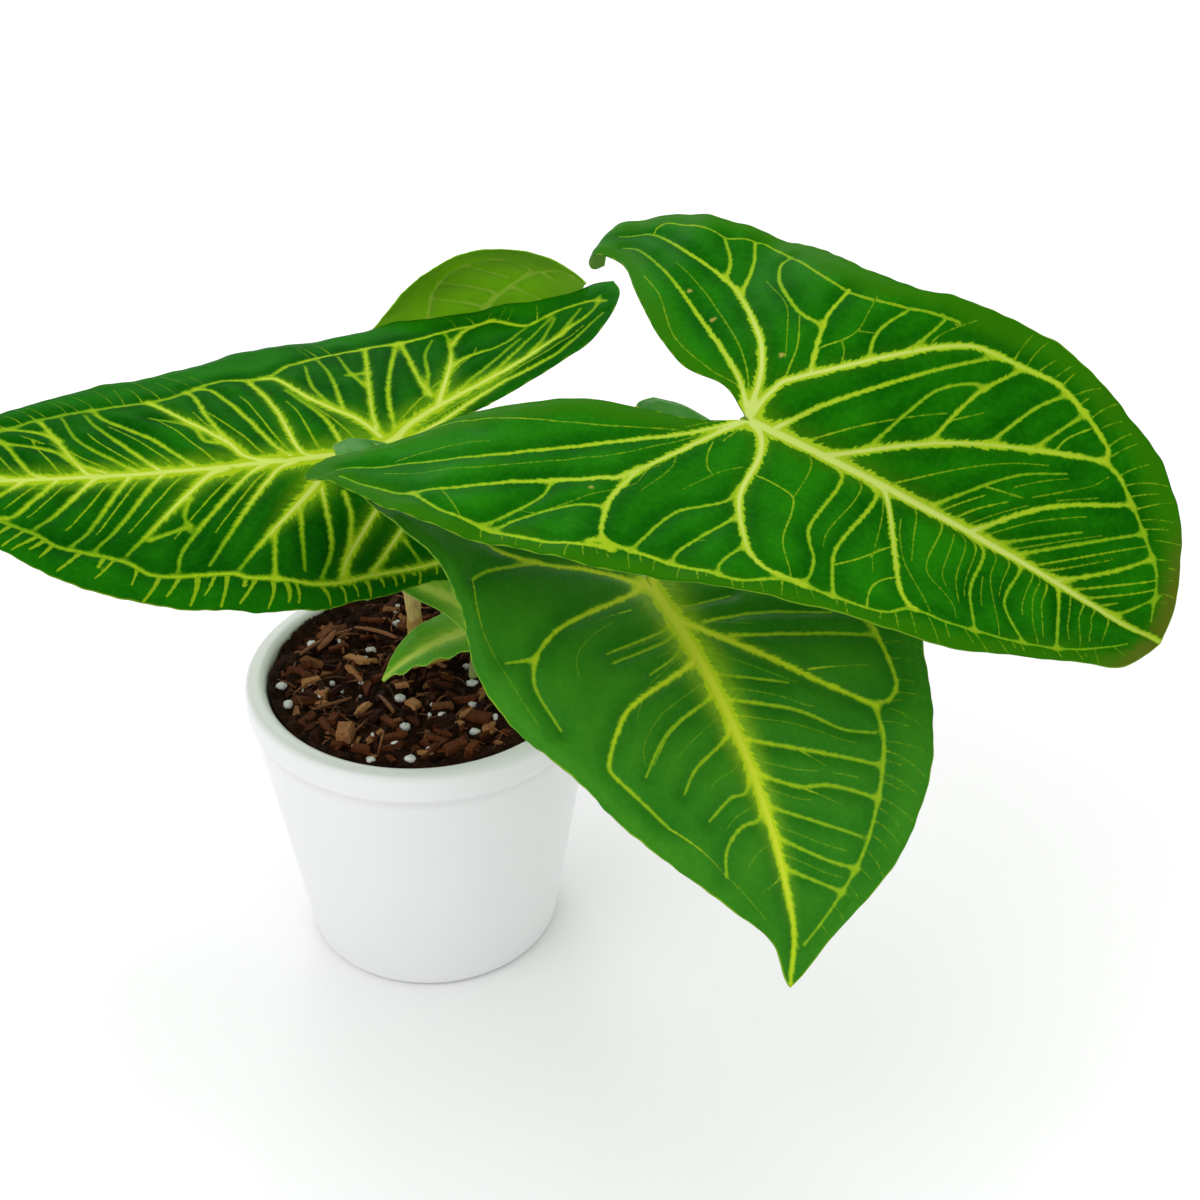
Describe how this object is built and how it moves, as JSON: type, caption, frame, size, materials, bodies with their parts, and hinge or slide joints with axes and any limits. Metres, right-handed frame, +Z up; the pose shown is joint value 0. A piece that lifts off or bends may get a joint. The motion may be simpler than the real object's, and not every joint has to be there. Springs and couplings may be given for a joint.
{
  "type": "arrowhead plant in a pot",
  "caption": "Potted arrowhead plant: broad arrow-shaped green leaves with bright yellow-green veins on thin bent stalks, small young leaves below, in a small white pot of bark soil.",
  "frame": {"origin": "middle of the pot's underside, on the surface that the pot stands on", "axes": "+Z is up along the pot's axis, +X points towards the side where the largest leaf reaches out, and -Y points towards the side where the front leaf hangs down"},
  "size_m": [0.3383, 0.2416, 0.231],
  "materials": {
    "pot": "satin",
    "soil": "matte",
    "blade": "satin",
    "blade_back": "satin",
    "blade_young": "satin",
    "stalk": "satin"
  },
  "bodies": {
    "root": {"pot": "pot", "soil": "soil", "blade_right": "blade", "blade_left": "blade", "blade_front": "blade", "blade_back": "blade_back", "blade_young_low": "blade_young", "blade_young_high": "blade_young", "stalk_right": "stalk", "stalk_left": "stalk", "stalk_front": "stalk", "stalk_back": "stalk", "stalk_young_low": "stalk", "stalk_young_high": "stalk"}
  },
  "joints": []
}
